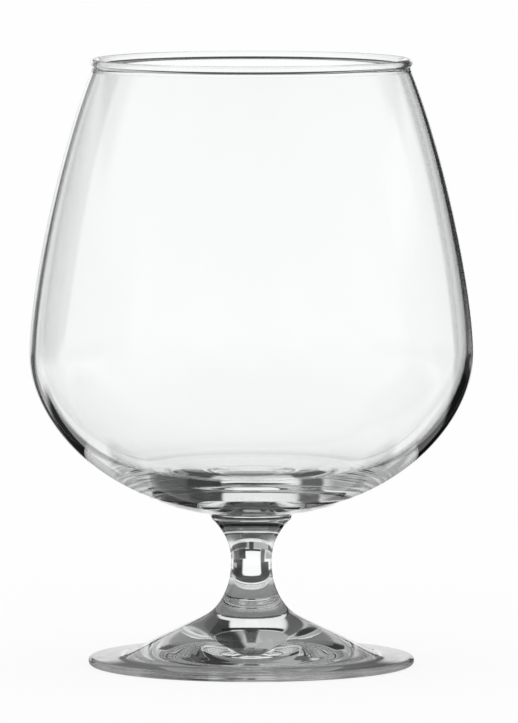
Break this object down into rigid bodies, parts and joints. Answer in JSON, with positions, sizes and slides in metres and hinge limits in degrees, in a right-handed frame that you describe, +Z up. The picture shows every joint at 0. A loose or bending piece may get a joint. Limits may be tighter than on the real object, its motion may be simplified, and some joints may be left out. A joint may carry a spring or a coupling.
{
  "type": "brandy snifter",
  "caption": "Clear glass brandy snifter with a wide bowl narrowing to a beaded mouth, a short waisted stem and a conical foot.",
  "frame": {"origin": "centre of the flat ring under the foot, on the table plane", "axes": "+Z up along the glass's axis of revolution, +X and +Y any two square directions across it"},
  "size_m": [0.0928, 0.0928, 0.127],
  "materials": {
    "clear_glass": "fire-polished, clear and glossy"
  },
  "bodies": {
    "root": {"bowl": "clear_glass", "stem": "clear_glass", "foot": "clear_glass"}
  },
  "joints": []
}
